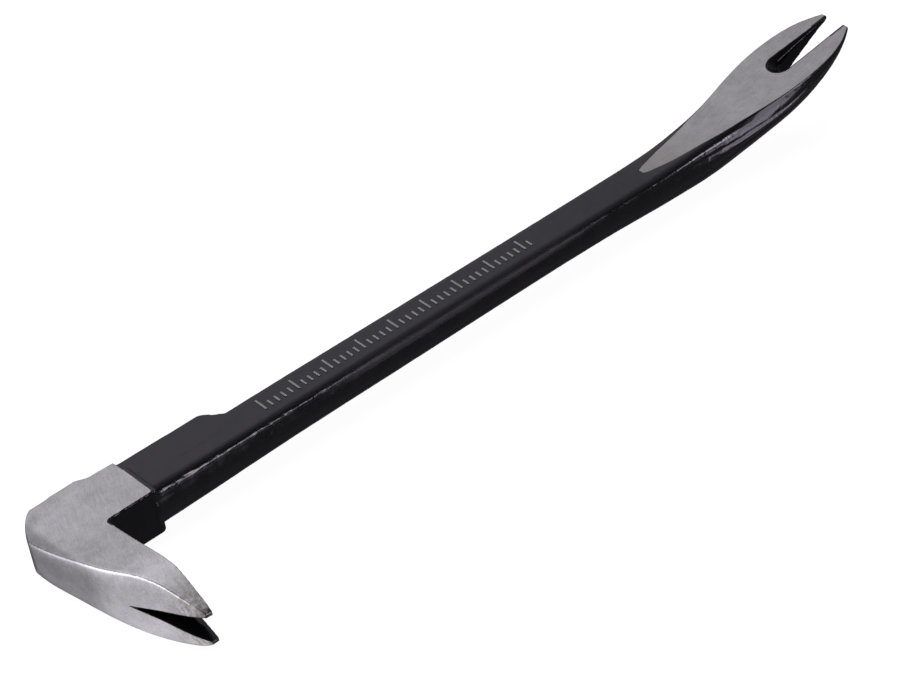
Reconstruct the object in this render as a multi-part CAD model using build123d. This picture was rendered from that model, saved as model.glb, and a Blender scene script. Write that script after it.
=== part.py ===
from build123d import *
import math
import os

# A double-ended nail puller, forged from one steel bar: an L-shaped head with a forked claw at
# one end, a straight shank, and a flat forked claw at the other end. Black enamel covers the
# shank, the throat of the head and both nail slots. The head and the leaf-shaped facet of the
# straight claw are ground bare.
# Building frame, in millimetres: +X runs along the shank towards the tips of the straight claw,
# the head's arm points along -Y, and z = 0 is the middle plane of the head. At the end every
# piece is moved so that the bar stands on z = 0 with the middle of its box on the Z axis.

# Coats
coat = 0.25
print_height = 0.12

# Head block, where the shank runs into the head
bare_end = 28.0
block_end = 29.0
block_half_height = 6.25
near_face = -6.1
throat = 14.9
throat_tip = 13.5
throat_bend = -34.0
throat_radius = 1.2
block_corner_radius = 1.0

# Outer side of the head: elbow, striking face and the dip behind it
elbow_limit = -2.4
elbow_start = -2.0
strike_start = 4.9
strike_end = 18.0
strike_face = 12.2
dip_end = 21.0
dip_depth = 1.5
head_far_face = 10.3
dip_radius = 2.0

# Arm of the head: where along Y, x of the outer face's two edges, crown of the outer face,
# half height at the outer edges, half height at the throat face
arm_stations = [
    (14.0, -1.30, 0.8, 5.0, 6.00),
    (7.0, -1.30, 0.9, 5.0, 6.10),
    (2.5, -1.25, 0.9, 5.0, 6.25),
    (-1.4, -0.90, 1.0, 5.5, 6.25),
    (-7.0, 0.15, 1.1, 6.05, 6.30),
    (-14.0, 1.7, 1.2, 6.9, 6.90),
    (-21.9, 3.7, 1.4, 8.0, 7.90),
    (-28.9, 6.1, 1.5, 9.0, 8.80),
    (-36.4, 8.5, 1.3, 8.7, 8.40),
    (-43.5, 10.2, 0.9, 6.75, 6.45),
    (-47.0, 11.3, 0.6, 5.35, 5.25),
    (-48.5, 11.85, 0.4, 4.3, 4.25),
]
arm_tip = -48.3
arm_section_end = 35.0

# Shank and straight claw: where along X, top, bottom, half width, width and height of the top
# corners, their roundness (a quarter of a circle is 1, a flat bevel 0), bottom corner radius
bar_stations = [
    (26.0, 6.10, -4.95, 6.10, 2.9, 2.9, 1.0, 2.2),
    (34.0, 5.95, -4.75, 6.10, 2.7, 2.7, 1.0, 2.2),
    (60.0, 5.65, -4.05, 6.10, 2.3, 2.3, 1.0, 2.2),
    (100.0, 5.30, -3.65, 6.10, 2.2, 2.2, 1.0, 2.2),
    (150.0, 4.95, -3.35, 6.10, 2.2, 2.2, 1.0, 2.2),
    (172.0, 4.85, -3.75, 6.10, 2.2, 2.2, 1.0, 2.2),
    (184.0, 4.90, -4.35, 6.15, 2.2, 2.3, 1.0, 2.3),
    (191.0, 5.20, -4.60, 6.25, 2.2, 2.6, 1.0, 2.6),
    (200.0, 6.00, -4.65, 6.75, 1.9, 3.0, 0.9, 3.4),
    (209.0, 7.10, -3.60, 7.90, 1.7, 3.5, 0.6, 5.0),
    (218.0, 8.60, -0.95, 9.35, 1.2, 3.6, 0.35, 4.9),
    (226.5, 10.00, 1.85, 10.15, 0.65, 3.0, 0.35, 4.1),
    (235.5, 11.35, 5.50, 9.95, 0.4, 1.3, 0.6, 3.0),
    (244.5, 12.60, 9.90, 8.00, 0.35, 0.5, 1.0, 1.3),
    (248.5, 13.20, 11.65, 6.00, 0.3, 0.35, 1.0, 0.6),
    (250.4, 13.52, 12.45, 4.75, 0.25, 0.25, 1.0, 0.35),
]
side_crown = 0.03
least_radius = 0.12
quarter_circle_rise = (math.sqrt(2) - 1) / 2

# Shoulder on the far side of the shank: its edge from the head to the foot of its ramp, x and y
shoulder_edge = [(26.0, 9.1), (51.4, 9.1), (52.4, 8.75), (57.0, 4.75), (58.6, 3.8)]
shoulder_start = shoulder_edge[0][0]
shoulder_far = shoulder_edge[0][1]
shoulder_ramp_end = shoulder_edge[-1][0]
shoulder_root_height = 6.05
shoulder_run_height = 5.65
shoulder_run_bottom = -4.05
shoulder_lean = 1.1

# Ground facet of the straight claw: where along X, height and half width. From the second last
# station on it is wider than the claw, so it takes in the whole top.
leaf_stations = [
    (183.0, 4.88, 1.0),
    (184.5, 4.92, 1.75),
    (191.0, 5.20, 3.30),
    (200.0, 6.00, 4.75),
    (209.0, 7.10, 6.70),
    (218.0, 8.60, 12.0),
    (226.5, 10.00, 12.0),
    (235.5, 11.35, 12.0),
    (251.0, 13.62, 12.0),
]
leaf_depth = coat + 0.15
leaf_headroom = 4.0
least_solid = 0.02

# Nail slot of the straight claw, square to the ground facet: a bevel and a narrower through slot,
# which narrows downwards
claw_slope = math.degrees(math.atan(0.15))
claw_bevel_centre = 231.2
claw_surface = 10.67
claw_slot_length = 24.0
claw_root_side = 0.35
claw_bevel_root_half = 3.4
claw_bevel_mouth_half = 3.1
claw_bevel_slope = 1.0
claw_bevel_depth = 2.4
claw_root_setback = 1.2
claw_root_half_width = 2.15
claw_mouth_half_width = 3.1
claw_slot_draft = 0.08
claw_slot_top = 6.0
claw_slot_bottom = -14.0
bevel_headroom = 2.0

# Nail slot of the head: a bevel on the outer face and a V that goes through to the throat
head_slot_root_x = 4.46
head_slot_root_y = -28.4
head_face_lean = 19.2
head_bevel_rate = 0.164
head_bevel_slope = 0.147
head_bevel_depth = 3.0
head_v_root_y = -30.5
head_v_end_y = -50.0
head_v_half_mouth = 3.5

# Printed scale on the top of the shank
mark_start = 64.0
mark_pitch = 2.0
mark_count = 42
marks_per_long = 5
mark_width = 0.5
mark_short = 2.3
mark_long = 4.4
mark_base = -1.8

tool_reach = 24.0


def bar_section(station, inset):
    """Rounded section of the bar, drawn in by the same depth all round."""
    x, top, bottom, half, top_width, top_height, roundness, bottom_radius = station
    top, bottom, half = top - inset, bottom + inset, half - inset
    width = max(top_width - inset * roundness, least_radius)
    height = max(top_height - inset * roundness, least_radius)
    lower = max(bottom_radius - inset, least_radius)
    bulge = half + side_crown * (top - bottom)
    middle = (top - height + bottom + lower) / 2

    def corner(side, end, across, along, edge, rounded):
        rise = rounded * quarter_circle_rise
        on_side = (side * half, edge - end * along)
        on_arc = (side * (half - across / 2 + rise * along), edge - end * (along / 2 - rise * across))
        on_flat = (side * (half - across), edge)
        return on_side, on_arc, on_flat

    far_top = corner(1, 1, width, height, top, roundness)
    far_bottom = corner(1, -1, lower, lower, bottom, 1)
    near_top = corner(-1, 1, width, height, top, roundness)
    near_bottom = corner(-1, -1, lower, lower, bottom, 1)
    edges = [
        Edge.make_line(near_top[2], far_top[2]),
        Edge.make_three_point_arc(far_top[2], far_top[1], far_top[0]),
        Edge.make_three_point_arc(far_top[0], (bulge, middle), far_bottom[0]),
        Edge.make_three_point_arc(far_bottom[0], far_bottom[1], far_bottom[2]),
        Edge.make_line(far_bottom[2], near_bottom[2]),
        Edge.make_three_point_arc(near_bottom[2], near_bottom[1], near_bottom[0]),
        Edge.make_three_point_arc(near_bottom[0], (-bulge, middle), near_top[0]),
        Edge.make_three_point_arc(near_top[0], near_top[1], near_top[2]),
    ]
    across = Plane(origin=(x, 0, 0), x_dir=(0, 1, 0), z_dir=(1, 0, 0))
    return across.from_local_coords(Wire(edges))


def bar(inset):
    """Shank and straight claw as one lofted solid."""
    return Solid.make_loft([bar_section(station, inset) for station in bar_stations])


def block(x_low, x_high, y_low, y_high, z_low, z_high):
    """Box between two corners."""
    size = (x_high - x_low, y_high - y_low, z_high - z_low)
    return Pos(x_low, y_low, z_low) * Solid.make_box(*size)


def shoulder(inset):
    """Wide shoulder between the head and the shank, with its ramp down to the shank."""
    edge = [(x, y - inset) for x, y in shoulder_edge]
    plan = [(shoulder_start, 0), *edge, (shoulder_ramp_end, 0)]
    plan_wire = Wire.make_polygon([(x, y, -block_half_height) for x, y in plan], close=True)
    plan_solid = Solid.extrude(Face(plan_wire), Vector(0, 0, 2 * block_half_height))
    root = shoulder_root_height - inset
    profile = [
        (shoulder_start, shoulder_lean - root),
        (shoulder_start, root),
        (shoulder_ramp_end, shoulder_run_height - inset),
        (shoulder_ramp_end, shoulder_run_bottom + inset),
    ]
    profile_wire = Wire.make_polygon([(x, 0, z) for x, z in profile], close=True)
    return plan_solid & Solid.extrude(Face(profile_wire), Vector(0, shoulder_far, 0))


def block_tail(inset):
    """End of the head block past the bare steel, down to the step under the shank."""
    height = block_half_height - inset
    side = -near_face - inset
    tail = block(shoulder_start, block_end - inset, -side, side, -height, height)
    foot = tail.edges().filter_by(Axis.Y).sort_by(lambda edge: edge.center().Z - edge.center().X)
    return tail.fillet(block_corner_radius - inset, foot[:1])


def arm_section(station):
    """Section of the head across the arm: crowned outer face, flat sides, open towards the shank."""
    y, outer, crown, outer_half, throat_half = station
    corners = [
        (outer, y, -outer_half),
        (throat, y, -throat_half),
        (arm_section_end, y, -block_half_height),
        (arm_section_end, y, block_half_height),
        (throat, y, throat_half),
        (outer, y, outer_half),
    ]
    edges = [Edge.make_line(a, b) for a, b in zip(corners, corners[1:])]
    edges.append(Edge.make_three_point_arc(corners[-1], (outer - crown, y, 0), corners[0]))
    return Wire(edges)


def head_plan(inset):
    """Plan of the head, drawn in by a depth along the throat and the block's near face."""
    near = near_face + inset
    inner = throat - inset
    with BuildSketch() as plan:
        with BuildLine():
            elbow = TangentArc((elbow_limit, elbow_start), (strike_start, strike_face), tangent=(0, 1))
            Polyline(
                elbow @ 1,
                (strike_end, strike_face),
                (dip_end, strike_face - dip_depth),
                (bare_end, head_far_face),
                (bare_end, near),
                (inner, near),
                (inner, throat_bend),
                (throat_tip - inset, arm_tip),
                (elbow_limit, arm_tip),
                elbow @ 0,
            )
        make_face()
        fillet(plan.vertices().sort_by_distance((inner, near, 0))[0], radius=throat_radius)
        fillet(plan.vertices().sort_by_distance((strike_end, strike_face, 0))[0], radius=dip_radius)
    return extrude(plan.sketch, amount=tool_reach, both=True)


def head(inset):
    """Head block, elbow and arm before the nail slot is cut."""
    arm = Solid.make_loft([arm_section(station) for station in arm_stations])
    return (head_plan(inset) & arm).solid()


def slot_outline(plane, root_u, root_half, end_half):
    """Closed wire of the claw's slot: its round root, a little to one side, and its open end."""
    far, near = claw_root_side + root_half, claw_root_side - root_half
    end_u = claw_slot_length
    edges = [
        Edge.make_three_point_arc((root_u, far), (root_u - root_half, claw_root_side), (root_u, near)),
        Edge.make_line((root_u, near), (end_u, -end_half)),
        Edge.make_line((end_u, -end_half), (end_u, end_half)),
        Edge.make_line((end_u, end_half), (root_u, far)),
    ]
    return plane.from_local_coords(Wire(edges))


def claw_slot(inset):
    """Space of the straight claw's nail slot: the through slot and the bevel round its edge."""
    facet = Plane(origin=(claw_bevel_centre, 0, claw_surface), x_dir=(1, 0, 0), z_dir=(0, 0, 1))
    facet = facet.rotated((0, -claw_slope, 0))
    root = claw_root_half_width + inset
    mouth = claw_mouth_half_width + inset
    through = []
    for level in (claw_slot_bottom, claw_slot_top):
        wider = level * claw_slot_draft
        through.append(slot_outline(facet.offset(level), claw_root_setback, root + wider, mouth + wider))
    bevel = []
    for level in (-claw_bevel_depth, bevel_headroom):
        wider = inset + level * claw_bevel_slope
        halves = (claw_bevel_root_half + wider, claw_bevel_mouth_half + wider)
        bevel.append(slot_outline(facet.offset(level), 0, *halves))
    return Solid.make_loft(through, True) + Solid.make_loft(bevel, True)


def head_slot(inset):
    """Space of the head's nail slot: a through V and the bevel on the outer face."""
    v_rate = head_v_half_mouth / (head_v_root_y - head_v_end_y)
    v_corners = [
        (0, head_v_root_y + inset / v_rate, 0),
        (0, head_v_end_y, head_v_half_mouth + inset),
        (0, head_v_end_y, -head_v_half_mouth - inset),
    ]
    through = Solid.extrude(Face(Wire.make_polygon(v_corners, close=True)), Vector(tool_reach, 0, 0))
    facet = Plane(origin=(head_slot_root_x, head_slot_root_y, 0), x_dir=(0, -1, 0), z_dir=(-1, 0, 0))
    facet = facet.rotated((0, 0, head_face_lean))

    def wedge(depth):
        half_root = inset - depth * head_bevel_slope
        half_tip = half_root + tool_reach * head_bevel_rate
        corners = [(-half_root / head_bevel_rate, 0), (tool_reach, half_tip), (tool_reach, -half_tip)]
        level = facet.offset(-depth)
        return Wire.make_polygon([level.from_local_coords((u, v, 0)) for u, v in corners], close=True)

    return through + Solid.make_loft([wedge(head_bevel_depth), wedge(-bevel_headroom)], True)


def leaf_space():
    """Space over the ground facet, a little deeper than the coat it was ground through."""
    sections = []
    for x, height, half in leaf_stations:
        low = height - leaf_depth
        high = height + leaf_headroom
        corners = [(x, -half, low), (x, half, low), (x, half, high), (x, -half, high)]
        sections.append(Wire.make_polygon(corners, close=True))
    return Solid.make_loft(sections, True)


def forged_steel_bar(bar_core, bar_skin, leaf):
    """The forging itself, as it is under its coats."""
    shank = bar_core + shoulder(coat) + block_tail(coat) + (bar_skin & leaf)
    past_head = shank - block(0, bare_end, -tool_reach, tool_reach, -tool_reach, tool_reach)
    return past_head + head(coat) - claw_slot(coat) - head_slot(coat)


def shank_enamel(bar_core, bar_skin, leaf):
    """Coat round the shank, the shoulder, the block's end and the straight claw."""
    outside = bar_skin + shoulder(0) + block_tail(0)
    inside = bar_core + shoulder(coat) + block_tail(coat)
    past_head = outside - block(0, bare_end, -tool_reach, tool_reach, -tool_reach, tool_reach)
    return past_head - inside - leaf - claw_slot(coat)


def throat_enamel():
    """Coat on the block's near face and on the arm's inner face."""
    return head(0) - head(coat) - head_slot(coat)


def head_slot_enamel():
    """Coat on the walls of the head's nail slot."""
    return (head(0) & head_slot(coat)) - head_slot(0)


def claw_slot_enamel(bar_skin):
    """Coat on the walls of the straight claw's nail slot."""
    return (bar_skin & claw_slot(coat)) - claw_slot(0)


def printed_scale(bar_skin):
    """Marks of a length scale, printed on the top of the shank with a longer one at each step."""
    marks = []
    for index in range(mark_count):
        x = mark_start + index * mark_pitch
        length = mark_short if index % marks_per_long else mark_long
        marks.append(block(x, x + mark_width, mark_base, mark_base + length, 0, block_half_height))
    raised = bar(-print_height)
    return [(mark & raised) - bar_skin for mark in marks]


def single(shape, name):
    """The one solid of a shape, without slivers."""
    solids = [solid for solid in shape.solids() if solid.volume > least_solid]
    print(name, "solids", len(solids), "volume", [round(solid.volume, 2) for solid in solids])
    return Compound(solids)


core = bar(coat)
skin = bar(0)
leaf = leaf_space()
pieces = {
    "forged_steel_bar": forged_steel_bar(core, skin, leaf),
    "shank_enamel": shank_enamel(core, skin, leaf),
    "throat_enamel": throat_enamel(),
    "head_slot_enamel": head_slot_enamel(),
    "claw_slot_enamel": claw_slot_enamel(skin),
    "printed_scale": Compound([solid for mark in printed_scale(skin) for solid in mark.solids()]),
}
whole = Compound([solid for shape in pieces.values() for solid in shape.solids()]).bounding_box()
rest = Location((-whole.center().X, -whole.center().Y, -whole.min.Z))
print("moved by", rest.position, "box", whole.size)
os.makedirs("parts", exist_ok=True)
for name, shape in pieces.items():
    piece = single(shape, name)
    export_step(piece.moved(rest), f"parts/{name}.step")
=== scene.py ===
import math

import bpy
import numpy as np
from mathutils import Matrix, Vector, noise
from mathutils.bvhtree import BVHTree


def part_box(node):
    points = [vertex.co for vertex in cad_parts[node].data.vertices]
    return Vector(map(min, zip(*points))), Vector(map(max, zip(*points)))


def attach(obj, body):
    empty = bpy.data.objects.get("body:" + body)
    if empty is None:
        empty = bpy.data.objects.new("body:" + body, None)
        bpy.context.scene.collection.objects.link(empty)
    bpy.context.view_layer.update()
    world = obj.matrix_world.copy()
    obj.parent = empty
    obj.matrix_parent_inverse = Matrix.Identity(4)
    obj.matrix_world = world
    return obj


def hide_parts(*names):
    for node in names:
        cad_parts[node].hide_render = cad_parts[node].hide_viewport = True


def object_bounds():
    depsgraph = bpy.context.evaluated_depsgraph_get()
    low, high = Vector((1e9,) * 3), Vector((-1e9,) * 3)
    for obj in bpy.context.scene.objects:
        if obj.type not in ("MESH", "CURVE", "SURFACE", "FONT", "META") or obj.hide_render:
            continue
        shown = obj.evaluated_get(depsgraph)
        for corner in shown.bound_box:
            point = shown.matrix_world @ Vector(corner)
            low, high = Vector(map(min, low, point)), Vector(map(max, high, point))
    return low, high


# A forged nail puller in bare ground steel and black enamel. The closed skin of the whole tool is
# remeshed finely from the CAD nodes, so that its edges are slightly rounded as on the real forging.
# The skin is then cut along the borders between steel and enamel: the steel is one closed body a
# little under the skin, and each coat is a thin closed shell on top of it.

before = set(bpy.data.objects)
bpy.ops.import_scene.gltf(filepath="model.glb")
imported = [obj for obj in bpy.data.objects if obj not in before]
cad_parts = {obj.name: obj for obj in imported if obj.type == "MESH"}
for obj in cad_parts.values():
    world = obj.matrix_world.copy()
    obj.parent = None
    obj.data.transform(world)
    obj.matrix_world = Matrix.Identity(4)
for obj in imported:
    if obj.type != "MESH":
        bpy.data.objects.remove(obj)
cad_low, cad_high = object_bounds()

MM = 0.001
STEEL = "forged_steel_bar"
# Coat: its CAD node, its slot in the record, its material here
COATS = {
    "shank_coat": ("shank_enamel", "black_enamel", "black_enamel"),
    "throat_coat": ("throat_enamel", "black_enamel", "throat_black"),
    "head_slot_coat": ("head_slot_enamel", "slot_enamel", "slot_enamel"),
    "claw_slot_coat": ("claw_slot_enamel", "slot_enamel", "slot_enamel"),
}
PRINT = "printed_scale"

# Remeshed skin
VOXEL = 0.17 * MM
ROUNDING_PASSES = 3
WORN_PASSES = 48

# Places on the tool: X from its head's end, Y from its arm's tip, Z from the floor
HEAD_END = 34.0 * MM
BLOCK_SIDE = 40.0 * MM
BLOCK_UPPER = 14.0 * MM
CLAW_LENGTH = 75.0 * MM
LEAF_LENGTH = 68.0 * MM

# Where the skin is rounded more, in millimetres on the same axes: spans run from none to full
HEAD_WORN, HEAD_ALONG, HEAD_SIDE, HEAD_OFF_SLOT = 0.6, (13.0, 11.0), (3.0, 5.0), (0.5, 1.1)
TIPS_WORN, TIPS_ALONG = 0.08, (248.2, 249.7)
SEAM_WORN, SEAM_START, SEAM_END = 0.36, (31.6, 33.6), (59.0, 57.0)
SEAM_SIDE, SEAM_ABOVE = (49.5, 55.5), 14.2
SLOT_WORN, SLOT_FROM, SLOT_MIDDLE, SLOT_HALF = 0.4, 229.5, 48.65, 3.9
FACET_AT, FACET_HEIGHT, FACET_SLOPE, BELOW_FACET = 233.3, 19.78, 0.15, (0.5, 1.0)

# Borders between steel and enamel, and the thickness of both
GROUND_DEPTH = 0.03 * MM
COAT_BACK = 0.10 * MM
COAT_REACH = 2.0 * MM
EDGE_BEAD = 0.02 * MM
BEAD_WIDTH = 0.3 * MM
BORDER_WOBBLE = 0.06 * MM
BORDER_WOBBLE_SIZE = 1.1 * MM
CLAW_OVERLAP = 0.28 * MM
THROAT_OVERLAP = 0.38 * MM
THROAT_WOBBLE = 0.22 * MM
ARM_UNDERLAP = 0.12 * MM

# Raised rim of the enamel along the block's upper edge
RIM_HEIGHT = 0.30 * MM
RIM_INSET = 0.32 * MM
RIM_WIDTH = 0.20 * MM
RIM_LEAST = 0.75
RIM_UNEVEN = 0.5

# Waves of the forged and of the ground surfaces
FORGED_WAVE = 0.025 * MM
FORGED_WAVE_SIZE = 7.0 * MM
FORGED_RIPPLE = 0.022 * MM
FORGED_RIPPLE_SIZE = 2.3 * MM
THROAT_SHARE = 0.25
GROUND_WAVE = 0.012 * MM
GROUND_WAVE_SIZE = 5.0 * MM

# The shank's near upper edge, as Y and Z. It is flatter beside the head, and a hand has rubbed it
# dull round GRIP_AT.
SHANK_EDGE = (12.3 * MM, 13.7 * MM)
FLAT_DEPTH = 0.08 * MM
FLAT_WIDTH = 0.85 * MM
FLAT_START, FLAT_END = (31.2, 32.2), (58.0, 38.0)
FLAT_WAVE_SIZE = 3.0 * MM
FLAT_UNEVEN = 0.5
GRIP_AT = -2.0 * MM
GRIP_REACH = (50.0 * MM, 20.0 * MM)
RUBBED_WIDTH = (2.2 * MM, 1.2 * MM)

# Camera
VIEW_AZIMUTH = math.radians(-32.26)
VIEW_ELEVATION = math.radians(37.37)
VIEW_ROLL = math.radians(-11.31)
VIEW_DISTANCE = 1.0
VIEW_LENS = 165.6
SENSOR = 36.0
AIM_FROM_CENTRE = Vector((-5.96, 16.60, -8.83)) * MM


# ---------------------------------------------------------------- meshes

def skin_of_tool():
    """One closed, finely remeshed skin round all the solid nodes, with its edges rounded a little."""
    pieces = [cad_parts[STEEL]] + [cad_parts[node] for node, _, _ in COATS.values()]
    joined = bpy.data.meshes.new("joined")
    points, faces, base = [], [], 0
    for piece in pieces:
        points += [v.co.copy() for v in piece.data.vertices]
        faces += [[base + i for i in p.vertices] for p in piece.data.polygons]
        base = len(points)
    joined.from_pydata(points, [], faces)
    skin = bpy.data.objects.new("skin", joined)
    bpy.context.scene.collection.objects.link(skin)
    remesh = skin.modifiers.new("remesh", "REMESH")
    remesh.mode = "VOXEL"
    remesh.voxel_size = VOXEL
    smooth = skin.modifiers.new("smooth", "SMOOTH")
    smooth.factor = 0.5
    smooth.iterations = ROUNDING_PASSES
    tri = skin.modifiers.new("tri", "TRIANGULATE")
    tri.quad_method = "SHORTEST_DIAGONAL"
    bpy.context.view_layer.update()
    made = bpy.data.meshes.new_from_object(skin.evaluated_get(bpy.context.evaluated_depsgraph_get()))
    bpy.data.objects.remove(skin)
    points, triangles = arrays(made)
    bpy.data.meshes.remove(made)
    return points, triangles


def arrays(mesh):
    """Points and triangles of a triangle mesh."""
    points = np.empty(len(mesh.vertices) * 3)
    mesh.vertices.foreach_get("co", points)
    triangles = np.empty(len(mesh.polygons) * 3, int)
    mesh.polygons.foreach_get("vertices", triangles)
    return points.reshape(-1, 3), triangles.reshape(-1, 3)


def largest_part(points, triangles):
    """Drops any small stray part that the remesh left."""
    label = np.arange(len(points))
    while True:
        low = label[triangles].min(axis=1)
        new = label.copy()
        for column in range(3):
            np.minimum.at(new, triangles[:, column], low)
        new = new[new]
        if (new == label).all():
            break
        label = new
    roots, counts = np.unique(label[triangles[:, 0]], return_counts=True)
    kept = triangles[label[triangles[:, 0]] == roots[counts.argmax()]]
    used, inverse = np.unique(kept, return_inverse=True)
    return points[used], inverse.reshape(-1, 3)


def edge_pairs(triangles):
    """Both directions of every edge, as two arrays of point numbers."""
    edges = np.concatenate([triangles[:, [0, 1]], triangles[:, [1, 2]], triangles[:, [2, 0]]])
    edges = np.unique(np.sort(edges, axis=1), axis=0)
    return np.concatenate([edges[:, 0], edges[:, 1]]), np.concatenate([edges[:, 1], edges[:, 0]])


def soften(points, triangles, weight):
    """Rounds the skin further where the weight is above 0, as wear and hand grinding do."""
    here, there = edge_pairs(triangles)
    moving = weight > 0
    here, there = here[moving[here]], there[moving[here]]
    row = np.cumsum(moving) - 1
    count = int(moving.sum())
    degree = np.bincount(row[here], minlength=count)[:, None]
    for _ in range(WORN_PASSES):
        around = [np.bincount(row[here], points[there, k], minlength=count) for k in range(3)]
        step = weight[moving][:, None] * 0.5 * (np.stack(around, 1) / degree - points[moving])
        points[moving] += step
    return points


def point_normals(points, triangles):
    """Unit normals at the points, weighted by the size of the triangles."""
    corners = points[triangles]
    across = np.cross(corners[:, 1] - corners[:, 0], corners[:, 2] - corners[:, 0])
    total = np.stack([np.bincount(triangles.ravel(), np.repeat(across[:, k], 3), minlength=len(points))
                      for k in range(3)], 1)
    return total / np.linalg.norm(total, axis=1)[:, None]


def ramp(value, span):
    """0 up to the first end of the span, 1 from its second end on. The ends may fall."""
    return np.clip((value - span[0]) / (span[1] - span[0]), 0, 1)


def on_tool(points):
    """Millimetres along the tool from its head, across it from the arm's tip, and above the floor."""
    return (points[:, 0] - cad_low.x) / MM, (points[:, 1] - cad_low.y) / MM, points[:, 2] / MM


def worn(points, from_slot):
    """Above 0 where the forging is rounded more: the outer edges of the head, the tips of the
    straight claw and the walls of its slot, and the seam between the shank and its shoulder."""
    along, side, high = on_tool(points)
    head = HEAD_WORN * ramp(along, HEAD_ALONG) * ramp(side, HEAD_SIDE) * ramp(from_slot / MM, HEAD_OFF_SLOT)
    tips = TIPS_WORN * ramp(along, TIPS_ALONG)
    seam = SEAM_WORN * ramp(along, SEAM_START) * ramp(along, SEAM_END)
    seam = seam * (side > SEAM_SIDE[0]) * (side < SEAM_SIDE[1]) * (high > SEAM_ABOVE)
    facet = FACET_HEIGHT + FACET_SLOPE * (along - FACET_AT)
    slot = SLOT_WORN * (along > SLOT_FROM) * (np.abs(side - SLOT_MIDDLE) < SLOT_HALF)
    slot = slot * ramp(facet - high, BELOW_FACET)
    return np.max([head, tips, seam, slot], axis=0)


def flat_edge(points):
    """1 on the shank's near upper edge beside the head, falling to 0 round it and along it."""
    along, _, _ = on_tool(points)
    from_edge = np.hypot(points[:, 1] - SHANK_EDGE[0], points[:, 2] - SHANK_EDGE[1])
    beside_head = ramp(along, FLAT_START) * ramp(along, FLAT_END)
    return beside_head * np.exp(-((from_edge / FLAT_WIDTH) ** 2))


def distances(points, node):
    """Distance from each point to the surface of a CAD node."""
    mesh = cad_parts[node].data
    tree = BVHTree.FromPolygons(
        [v.co for v in mesh.vertices], [tuple(p.vertices) for p in mesh.polygons]
    )
    return np.array([tree.find_nearest(p)[3] for p in points])


def wave(points, size, seed):
    """Smooth random height in -1 to 1 at each point."""
    offset = Vector((17.3 * seed, 5.1 * seed, 9.7 * seed))
    return np.array([noise.noise(Vector(p) / size + offset) for p in points])


def cut(points, triangles, normals, field):
    """Splits the triangles along field = 0. Returns the new points, normals and field, and the
    triangles below and above zero."""
    field = np.where(np.abs(field) < 1e-9, 1e-9, field)
    above = field > 0
    count = above[triangles].sum(axis=1)
    mixed = (count == 1) | (count == 2)
    split = triangles[mixed]
    lone_sign = (count[mixed] == 1)[:, None]
    lone = (above[split] == lone_sign).argmax(axis=1)
    a, b, c = (split[np.arange(len(split)), (lone + k) % 3] for k in range(3))
    ends = np.concatenate([np.sort(np.stack([a, b], 1), 1), np.sort(np.stack([a, c], 1), 1)])
    edges, where = np.unique(ends, axis=0, return_inverse=True)
    where = where.reshape(-1) + len(points)
    share = field[edges[:, 0]] / (field[edges[:, 0]] - field[edges[:, 1]])
    share = share[:, None].clip(0.02, 0.98)
    new_points = points[edges[:, 0]] * (1 - share) + points[edges[:, 1]] * share
    new_normals = normals[edges[:, 0]] * (1 - share) + normals[edges[:, 1]] * share
    new_normals /= np.linalg.norm(new_normals, axis=1)[:, None]
    p, q = where[: len(split)], where[len(split):]
    lone_tris = np.stack([a, p, q], 1)
    pair_tris = np.concatenate([np.stack([p, b, c], 1), np.stack([p, c, q], 1)])
    lone_above = lone_sign[:, 0]
    pair_above = np.concatenate([~lone_above, ~lone_above])
    low = [triangles[count == 0], lone_tris[~lone_above], pair_tris[~pair_above]]
    high = [triangles[count == 3], lone_tris[lone_above], pair_tris[pair_above]]
    points = np.concatenate([points, new_points])
    normals = np.concatenate([normals, new_normals])
    field = np.concatenate([field, np.zeros(len(edges))])
    return points, normals, field, np.concatenate(low), np.concatenate(high)


def object_of(name, points, triangles, material):
    """A smooth-shaded object made of the triangles, with only the points that they use."""
    used, inverse = np.unique(triangles, return_inverse=True)
    mesh = bpy.data.meshes.new(name)
    mesh.from_pydata(points[used].tolist(), [], inverse.reshape(-1, 3).tolist())
    mesh.polygons.foreach_set("use_smooth", [True] * len(mesh.polygons))
    mesh.materials.append(material)
    mesh.validate()
    piece = bpy.data.objects.new(name, mesh)
    bpy.context.scene.collection.objects.link(piece)
    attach(piece, "root")
    return piece


def shell(outer, inner, triangles):
    """Closed thin shell: the outer triangles, the same ones turned over at the inner points, and
    a rim where they end."""
    count = len(outer)
    edges = np.concatenate([triangles[:, [0, 1]], triangles[:, [1, 2]], triangles[:, [2, 0]]])
    key = np.sort(edges, axis=1)
    _, first, times = np.unique(key, axis=0, return_index=True, return_counts=True)
    rim = edges[first[times == 1]]
    back = triangles[:, ::-1] + count
    side_a = np.stack([rim[:, 1], rim[:, 0], rim[:, 0] + count], 1)
    side_b = np.stack([rim[:, 1], rim[:, 0] + count, rim[:, 1] + count], 1)
    return np.concatenate([outer, inner]), np.concatenate([triangles, back, side_a, side_b])


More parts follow.
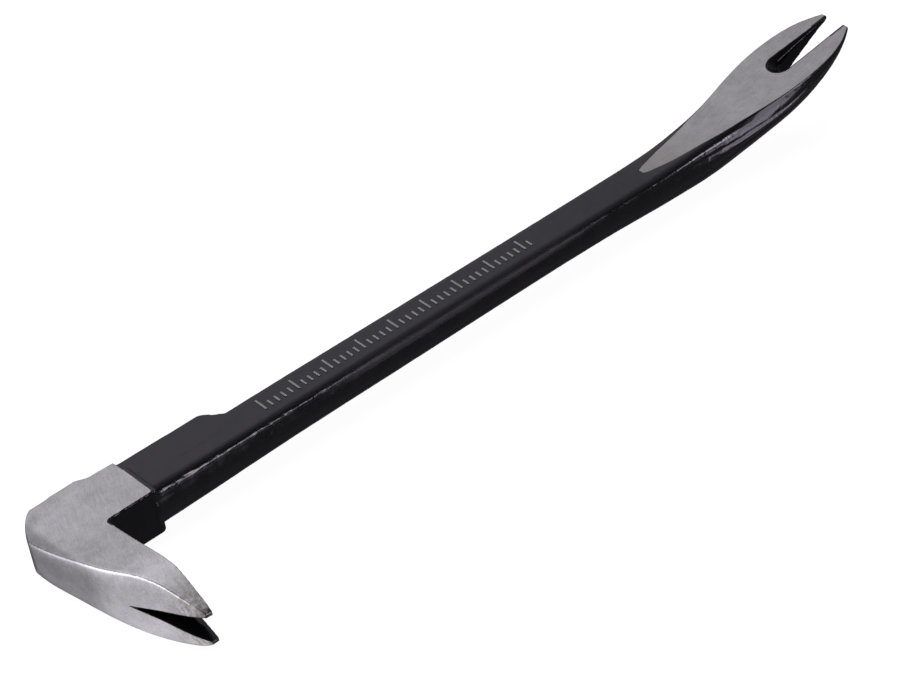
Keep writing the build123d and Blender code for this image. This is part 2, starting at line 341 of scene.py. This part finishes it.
def borders(points, to_steel, to_coats):
    """Signed distance to the nearest border: above 0 on bare steel and below 0 on enamel. Also a
    weight that is 1 at the block's part of the throat and falls to 0 a millimetre from it."""
    nearest_coat = np.min(list(to_coats.values()), axis=0)
    wobble = BORDER_WOBBLE * wave(points, BORDER_WOBBLE_SIZE, 1)
    on_claw = (points[:, 0] > cad_high.x - CLAW_LENGTH) * (to_coats["shank_coat"] < COAT_REACH)
    near_border = (np.abs(nearest_coat - to_steel) < VOXEL * 2) * ~on_claw
    bare = nearest_coat - to_steel + wobble * near_border - on_claw * CLAW_OVERLAP
    near_throat = np.clip(1 - to_coats["throat_coat"] / MM, 0, 1) * (to_coats["head_slot_coat"] > MM)
    on_block = points[:, 1] > cad_low.y + BLOCK_SIDE
    by_throat = near_throat * on_block
    bare = bare - by_throat * (THROAT_OVERLAP + THROAT_WOBBLE * wave(points, BORDER_WOBBLE_SIZE, 5))
    return bare + near_throat * ~on_block * ARM_UNDERLAP, by_throat


def relief(points, bare, by_throat, to_throat):
    """Height of the surface over the skin: the waves of both surfaces, the rim of the throat's
    enamel, and the flatter edge of the shank. All but the rim stays under the skin."""
    forged = FORGED_WAVE * wave(points, FORGED_WAVE_SIZE, 2)
    forged += FORGED_RIPPLE * wave(points, FORGED_RIPPLE_SIZE, 3)
    ground = GROUND_WAVE * wave(points, GROUND_WAVE_SIZE, 4)
    coated = np.clip(-bare / BEAD_WIDTH + 0.5, 0, 1)
    forged = forged * (1 - (1 - THROAT_SHARE) * np.clip(1 - to_throat / MM, 0, 1))
    lift = forged * coated + ground * (1 - coated)
    rim = np.exp(-(((bare + RIM_INSET) / RIM_WIDTH) ** 2)) * by_throat * (points[:, 2] > BLOCK_UPPER)
    lift = lift + RIM_HEIGHT * rim * (RIM_LEAST + RIM_UNEVEN * wave(points, BORDER_WOBBLE_SIZE, 6))
    uneven = 1 + FLAT_UNEVEN * wave(points, FLAT_WAVE_SIZE, 7)
    return lift - FLAT_DEPTH * flat_edge(points) * uneven - FORGED_WAVE - FORGED_RIPPLE


def make_tool(materials):
    """Steel body and coats from the skin of the CAD nodes."""
    points, triangles = largest_part(*skin_of_tool())
    points = soften(points, triangles, worn(points, distances(points, "head_slot_enamel")))
    normals = point_normals(points, triangles)
    to_steel = distances(points, STEEL)
    to_coats = {name: distances(points, node) for name, (node, _, _) in COATS.items()}
    bare, by_throat = borders(points, to_steel, to_coats)
    points = points + normals * relief(points, bare, by_throat, to_coats["throat_coat"])[:, None]

    before = len(points)
    points, normals, bare, coat_tris, bare_tris = cut(points, triangles, normals, bare)
    all_tris = np.concatenate([coat_tris, bare_tris])

    steel_points = points - normals * GROUND_DEPTH
    steel = object_of("steel_forging", steel_points, all_tris, materials["steel"])
    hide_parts(STEEL)

    # Each coat keeps the triangles whose middle is nearest its own CAD node.
    names = list(COATS)
    own = np.stack([to_coats[name] for name in names], 1)
    new = np.full((len(points) - before, len(names)), np.nan)
    own = np.concatenate([own, new])
    middle = np.nanmean(own[coat_tris], axis=1)
    nearest = middle.argmin(axis=1)
    bead = EDGE_BEAD * np.clip(1 + bare / BEAD_WIDTH, 0, 1) ** 2
    outer = points - normals * bead[:, None]
    inner = points - normals * COAT_BACK
    for index, name in enumerate(names):
        node, slot, finish = COATS[name]
        shell_points, shell_tris = shell(outer, inner, coat_tris[nearest == index])
        coat = object_of(name, shell_points, shell_tris, materials[finish])
        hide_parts(node)


# ---------------------------------------------------------------- materials

class Graph:
    """Small helper that adds and links shader nodes."""

    def __init__(self, material):
        material.use_nodes = True
        self.tree = material.node_tree
        self.shader = self.tree.nodes["Principled BSDF"]

    def add(self, kind, **values):
        node = self.tree.nodes.new("ShaderNode" + kind)
        for key, value in values.items():
            setattr(node, key, value)
        return node

    def link(self, output, socket):
        self.tree.links.new(output, socket)

    def place(self):
        return self.add("TexCoord").outputs["Object"]

    def axes(self, source):
        """X, Y and Z of the coordinates."""
        node = self.add("SeparateXYZ")
        self.link(source, node.inputs["Vector"])
        return node.outputs["X"], node.outputs["Y"], node.outputs["Z"]

    def turned(self, source, turn, scale):
        """Coordinates turned about Z, then scaled: a small scale along X gives streaks along X."""
        turned = self.add("Mapping")
        turned.inputs["Rotation"].default_value = (0, 0, turn)
        self.link(source, turned.inputs["Vector"])
        stretched = self.add("Mapping")
        stretched.inputs["Scale"].default_value = scale
        self.link(turned.outputs["Vector"], stretched.inputs["Vector"])
        return stretched.outputs["Vector"]

    def noise(self, source, scale, detail=3.0, roughness=0.55):
        node = self.add("TexNoise")
        node.inputs["Scale"].default_value = scale
        node.inputs["Detail"].default_value = detail
        node.inputs["Roughness"].default_value = roughness
        self.link(source, node.inputs["Vector"])
        return node.outputs["Fac"]

    def span(self, source, low, high, to_low, to_high, smooth=False):
        """The source's stretch from low to high, mapped to to_low and to_high and held outside."""
        node = self.add("MapRange")
        if smooth:
            node.interpolation_type = "SMOOTHSTEP"
        for key, value in zip(("From Min", "From Max", "To Min", "To Max"), (low, high, to_low, to_high)):
            if isinstance(value, (int, float)):
                node.inputs[key].default_value = value
            else:
                self.link(value, node.inputs[key])
        self.link(source, node.inputs["Value"])
        return node.outputs["Result"]

    def math(self, operation, a, b):
        node = self.add("Math", operation=operation)
        for socket, value in zip(node.inputs, (a, b)):
            if isinstance(value, (int, float)):
                socket.default_value = value
            else:
                self.link(value, socket)
        return node.outputs["Value"]

    def mix(self, factor, a, b, blend="MIX"):
        node = self.add("Mix", data_type="RGBA", blend_type=blend)
        for socket, value in zip((node.inputs[0], node.inputs[6], node.inputs[7]), (factor, a, b)):
            if isinstance(value, (int, float, tuple)):
                socket.default_value = value
            else:
                self.link(value, socket)
        return node.outputs[2]

    def about_middle(self, noise, size):
        """A noise mapped to plus and minus the size."""
        return self.span(noise, NOISE_LOW, NOISE_HIGH, -size, size)

    def total(self, *parts):
        result = parts[0]
        for part in parts[1:]:
            result = self.math("ADD", result, part)
        return result

    def bump(self, height, strength, distance):
        node = self.add("Bump")
        node.inputs["Strength"].default_value = strength
        node.inputs["Distance"].default_value = distance
        self.link(height, node.inputs["Height"])
        self.link(node.outputs["Normal"], self.shader.inputs["Normal"])


def grey(value, warmth=0.0):
    """Grey colour, warmer where warmth is above 0."""
    return (value * (1 + warmth), value, value * (1 - warmth), 1.0)


# Most of a noise lies between these two values.
NOISE_LOW, NOISE_HIGH = 0.3, 0.7
BUMP_DEPTH = 0.02 * MM
HEAD_GRINDING = math.radians(-68)
STEEL_DARK, STEEL_PALE = grey(0.31, 0.004), grey(0.77, 0.004)
HEAT_BROWN = (0.34, 0.28, 0.215, 1.0)
HEAT_WARM = (0.52, 0.46, 0.40, 1.0)
TIP_END_BLACK = (0.07, 0.062, 0.055, 1.0)
ENAMEL_DARK, ENAMEL_PALE = (0.7, 0.7, 0.85), (1.7, 1.7, 2.1)
ENAMEL_TINT = (0.93, 0.90, 1.0, 1.0)


def steel_material():
    """Belt-ground bare steel: short streaks along the grinding direction, blotches and grain. Painted
    light brightens the arm towards its tip and painted shade darkens the elbow's outer face. Heat has
    stained the tines of the head and warmed the narrow end of the ground leaf."""
    material = bpy.data.materials.new("ground_steel")
    graph = Graph(material)
    shader = graph.shader
    shader.inputs["Metallic"].default_value = 1.0
    place = graph.place()
    x, y, _ = graph.axes(place)
    low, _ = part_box(STEEL)

    claw_start = cad_high.x - CLAW_LENGTH
    on_bar = graph.span(x, claw_start - 15 * MM, claw_start - 5 * MM, 0.0, 1.0)
    head_streaks = graph.turned(place, HEAD_GRINDING, (0.12, 1.0, 1.0))
    leaf_streaks = graph.turned(place, 0.0, (0.10, 1.0, 1.0))
    grinds = [[graph.noise(streaks, size, 2.0) for streaks in (head_streaks, leaf_streaks)]
              for size in (6500, 1700)]
    fine, wide = (graph.span(on_bar, 0.0, 1.0, *grind) for grind in grinds)
    blotch = graph.noise(place, 210, 5.0, 0.65)
    grain = graph.noise(place, 4200, 3.0, 0.65)
    parts = ((wide, 0.05), (fine, 0.09), (blotch, 0.11), (grain, 0.12))
    tone = graph.total(*(graph.about_middle(noise, size) for noise, size in parts))
    colour = graph.mix(graph.span(tone, -0.30, 0.30, 0.0, 1.0), STEEL_DARK, STEEL_PALE)

    # Painted light: the head's steel colour is made brighter towards the arm's tip.
    painted_light_to_tip = graph.span(y, low.y + 38 * MM, low.y + 12 * MM, 1.0, 1.38, True)
    on_head = graph.span(x, low.x + HEAD_END - 4 * MM, low.x + HEAD_END, 1.0, 0.0)
    painted_light_to_tip = graph.span(on_head, 0.0, 1.0, 1.0, painted_light_to_tip)
    # Painted shade: the elbow's outer face is made darker in colour.
    painted_elbow_shade = graph.span(x, low.x + 4.8 * MM, low.x + 3.0 * MM, 1.0, 0.64, True)
    leaf_start = cad_high.x - LEAF_LENGTH
    whole_leaf = graph.span(x, leaf_start - 20 * MM, leaf_start - 10 * MM, 1.0, 0.72)
    for shade in (painted_light_to_tip, painted_elbow_shade):
        colour = graph.mix(1.0, colour, shade, "MULTIPLY")

    near_tip = graph.span(y, low.y + 13 * MM, low.y + 3 * MM, 0.0, 1.0, True)
    spots = graph.span(graph.noise(place, 800, 4.0, 0.7), 0.40, 0.60, 0.0, 1.0)
    stain = graph.math("MULTIPLY", graph.math("MULTIPLY", near_tip, spots), 0.75)
    colour = graph.mix(stain, colour, HEAT_BROWN)
    warm_end = graph.span(x, leaf_start + 26 * MM, leaf_start, 0.0, 0.45, True)
    on_leaf = graph.span(x, leaf_start - 8 * MM, leaf_start - 4 * MM, 0.0, 1.0)
    colour = graph.mix(graph.math("MULTIPLY", warm_end, on_leaf), colour, HEAT_WARM)
    colour = graph.mix(1.0, colour, whole_leaf, "MULTIPLY")
    # Near black, unevenly, over the last millimetre and a half of the arm's tips.
    end_face = graph.span(y, low.y + 1.6 * MM, low.y + 0.5 * MM, 0.0, 0.85, True)
    uneven = graph.span(graph.noise(place, 900, 3.0), 0.36, 0.56, 0.0, 1.0)
    colour = graph.mix(graph.math("MULTIPLY", end_face, uneven), colour, TIP_END_BLACK)
    graph.link(colour, shader.inputs["Base Color"])

    rough = graph.span(fine, NOISE_LOW, NOISE_HIGH, 0.30, 0.44)
    graph.link(graph.total(rough, graph.about_middle(blotch, 0.03)), shader.inputs["Roughness"])
    height = graph.total(graph.math("MULTIPLY", fine, 0.6), graph.math("MULTIPLY", wide, 0.5))
    graph.bump(height, 0.35, BUMP_DEPTH)
    return material


def enamel_material(name, base, roughness, peel, ior, handled=0.0):
    """Black enamel over forged steel: dust-fine speckle, orange peel and slight wear in its gloss.
    It is duller by handled along the shank's near upper edge, where a hand rubs it."""
    material = bpy.data.materials.new(name)
    graph = Graph(material)
    shader = graph.shader
    place = graph.place()
    speck = graph.noise(place, 4200, 2.0)
    cloud = graph.noise(place, 260, 4.0, 0.6)
    tone = graph.total(graph.span(speck, 0.35, 0.7, 0.0, 0.5), graph.span(cloud, 0.3, 0.7, 0.0, 0.5))
    dark, pale = (tuple(base * share for share in shares) + (1.0,) for shares in (ENAMEL_DARK, ENAMEL_PALE))
    graph.link(graph.mix(tone, dark, pale), shader.inputs["Base Color"])

    gloss = graph.span(cloud, NOISE_LOW, NOISE_HIGH, roughness - 0.04, roughness + 0.04)
    x, y, z = graph.axes(place)
    from_grip = graph.math("ABSOLUTE", graph.math("SUBTRACT", x, GRIP_AT), 0.0)
    aside = graph.math("SUBTRACT", y, SHANK_EDGE[0])
    above = graph.math("SUBTRACT", z, SHANK_EDGE[1])
    from_edge = graph.total(graph.math("MULTIPLY", aside, aside), graph.math("MULTIPLY", above, above))
    on_edge = graph.span(from_edge, RUBBED_WIDTH[0] ** 2, RUBBED_WIDTH[1] ** 2, 0.0, handled)
    rubbed = graph.math("MULTIPLY", on_edge, graph.span(from_grip, *GRIP_REACH, 0.0, 1.0, True))
    rough = graph.total(gloss, graph.about_middle(speck, 0.03), rubbed)
    graph.link(rough, shader.inputs["Roughness"])
    shader.inputs["IOR"].default_value = ior
    shader.inputs["Specular Tint"].default_value = ENAMEL_TINT
    height = graph.total(graph.noise(place, 1500, 2.0), graph.math("MULTIPLY", speck, 0.25))
    graph.bump(height, peel, BUMP_DEPTH)
    return material


def print_material():
    """Grey pad print, a little uneven."""
    material = bpy.data.materials.new("grey_print")
    graph = Graph(material)
    place = graph.place()
    uneven = graph.noise(place, 2600, 3.0)
    graph.link(graph.mix(uneven, grey(0.10), grey(0.20)), graph.shader.inputs["Base Color"])
    graph.link(graph.span(uneven, NOISE_LOW, NOISE_HIGH, 0.42, 0.56), graph.shader.inputs["Roughness"])
    graph.bump(uneven, 0.2, BUMP_DEPTH / 2)
    return material


# ---------------------------------------------------------------- stage

FLOOR_HALF = 4.0
FLOOR_LEVEL = -0.2 * MM


def make_floor():
    """Plain pale floor. Glossy rays pass it, so that the enamel keeps its deep black."""
    mesh = bpy.data.meshes.new("floor")
    corners = [(-1, -1), (1, -1), (1, 1), (-1, 1)]
    mesh.from_pydata([(x * FLOOR_HALF, y * FLOOR_HALF, FLOOR_LEVEL) for x, y in corners], [], [(0, 1, 2, 3)])
    floor = bpy.data.objects.new("floor", mesh)
    bpy.context.scene.collection.objects.link(floor)
    material = bpy.data.materials.new("floor")
    graph = Graph(material)
    tint = graph.noise(graph.place(), 3.0, 2.0)
    graph.link(graph.mix(tint, grey(0.08), grey(0.09)), graph.shader.inputs["Base Color"])
    graph.link(graph.mix(tint, grey(0.95), grey(0.97)), graph.shader.inputs["Emission Color"])
    graph.shader.inputs["Emission Strength"].default_value = 1.0
    graph.shader.inputs["Roughness"].default_value = 0.9
    graph.shader.inputs["Specular IOR Level"].default_value = 0.0
    mesh.materials.append(material)
    floor.visible_glossy = False


# Soft lights of the studio as seen in reflections: azimuth, elevation, inner and outer radius in
# degrees, brightness.
SOFT_BOXES = [
    (92, 36, 14, 44, 0.40),
    (45, 48, 20, 75, 0.24),
    (80, 66, 12, 38, 0.26),
    (152, 13, 7, 29, 3.0),
    (158, -40, 12, 50, 0.48),
    (135, -62, 8, 30, 0.30),
    (-72, 17, 2.5, 8, 10.0),
    (-84, 13, 6, 15, 3.2),
    (-84, -10, 5, 16, 4.4),
    (-35, -55, 20, 70, 0.07),
]
ROOM = 0.05
TINT = (0.99, 0.965, 1.04, 1.0)


def make_world():
    """Pale backdrop for the camera, soft boxes for everything else."""
    world = bpy.data.worlds.new("studio")
    bpy.context.scene.world = world
    world.use_nodes = True
    tree = world.node_tree
    lit = tree.nodes["Background"]
    lit.inputs["Color"].default_value = TINT
    place = tree.nodes.new("ShaderNodeTexCoord").outputs["Generated"]
    total = None
    for azimuth, elevation, inner, outer, brightness in SOFT_BOXES:
        flat = math.cos(math.radians(elevation))
        direction = (flat * math.cos(math.radians(azimuth)), flat * math.sin(math.radians(azimuth)),
                     math.sin(math.radians(elevation)))
        dot = tree.nodes.new("ShaderNodeVectorMath")
        dot.operation = "DOT_PRODUCT"
        dot.inputs[1].default_value = direction
        tree.links.new(place, dot.inputs[0])
        lobe = tree.nodes.new("ShaderNodeMapRange")
        lobe.interpolation_type = "SMOOTHSTEP"
        lobe.inputs["From Min"].default_value = math.cos(math.radians(outer))
        lobe.inputs["From Max"].default_value = math.cos(math.radians(inner))
        lobe.inputs["To Max"].default_value = brightness
        tree.links.new(dot.outputs["Value"], lobe.inputs["Value"])
        add = tree.nodes.new("ShaderNodeMath")
        add.operation = "ADD"
        add.inputs[1].default_value = ROOM
        if total is not None:
            tree.links.new(total, add.inputs[1])
        tree.links.new(lobe.outputs["Result"], add.inputs[0])
        total = add.outputs["Value"]
    tree.links.new(total, lit.inputs["Strength"])
    backdrop = tree.nodes.new("ShaderNodeBackground")
    backdrop.inputs["Color"].default_value = (1.0, 1.0, 1.0, 1.0)
    pick = tree.nodes.new("ShaderNodeMixShader")
    tree.links.new(tree.nodes.new("ShaderNodeLightPath").outputs["Is Camera Ray"], pick.inputs[0])
    tree.links.new(lit.outputs["Background"], pick.inputs[1])
    tree.links.new(backdrop.outputs["Background"], pick.inputs[2])
    tree.links.new(pick.outputs["Shader"], tree.nodes["World Output"].inputs["Surface"])


def make_sun():
    """Very soft light from above that only whitens the floor and shapes the matt surfaces."""
    light = bpy.data.lights.new("overhead", "SUN")
    light.energy = 2.6
    light.angle = math.radians(60)
    overhead = bpy.data.objects.new("overhead", light)
    overhead.rotation_euler = (math.radians(-12), math.radians(-14), 0)
    overhead.visible_glossy = False
    bpy.context.scene.collection.objects.link(overhead)


def make_camera():
    """Camera at a fixed angle and distance from the tool's middle."""
    flat = math.cos(VIEW_ELEVATION)
    right = Vector((math.cos(VIEW_AZIMUTH), math.sin(VIEW_AZIMUTH), 0))
    back = Vector((math.sin(VIEW_AZIMUTH) * flat, -math.cos(VIEW_AZIMUTH) * flat, math.sin(VIEW_ELEVATION)))
    up = back.cross(right)
    turn = Matrix((right, up, back)).transposed() @ Matrix.Rotation(VIEW_ROLL, 3, "Z")
    data = bpy.data.cameras.new("camera")
    data.lens = VIEW_LENS
    data.sensor_width = SENSOR
    data.clip_start = 0.05
    data.clip_end = 50.0
    camera = bpy.data.objects.new("camera", data)
    centre = (cad_low + cad_high) / 2
    camera.matrix_world = Matrix.Translation(centre + AIM_FROM_CENTRE + back * VIEW_DISTANCE) @ turn.to_4x4()
    bpy.context.scene.collection.objects.link(camera)
    bpy.context.scene.camera = camera


materials = {
    "steel": steel_material(),
    "black_enamel": enamel_material("black_enamel", 0.0033, 0.16, 0.20, 1.50, 0.34),
    "throat_black": enamel_material("throat_black", 0.0022, 0.14, 0.10, 1.45),
    "slot_enamel": enamel_material("slot_enamel", 0.0020, 0.13, 0.20, 1.40),
}
make_tool(materials)
scale_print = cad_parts[PRINT]
scale_print.data.materials.clear()
scale_print.data.materials.append(print_material())
make_floor()
make_world()
make_sun()
make_camera()
bpy.context.scene.view_settings.view_transform = "Standard"
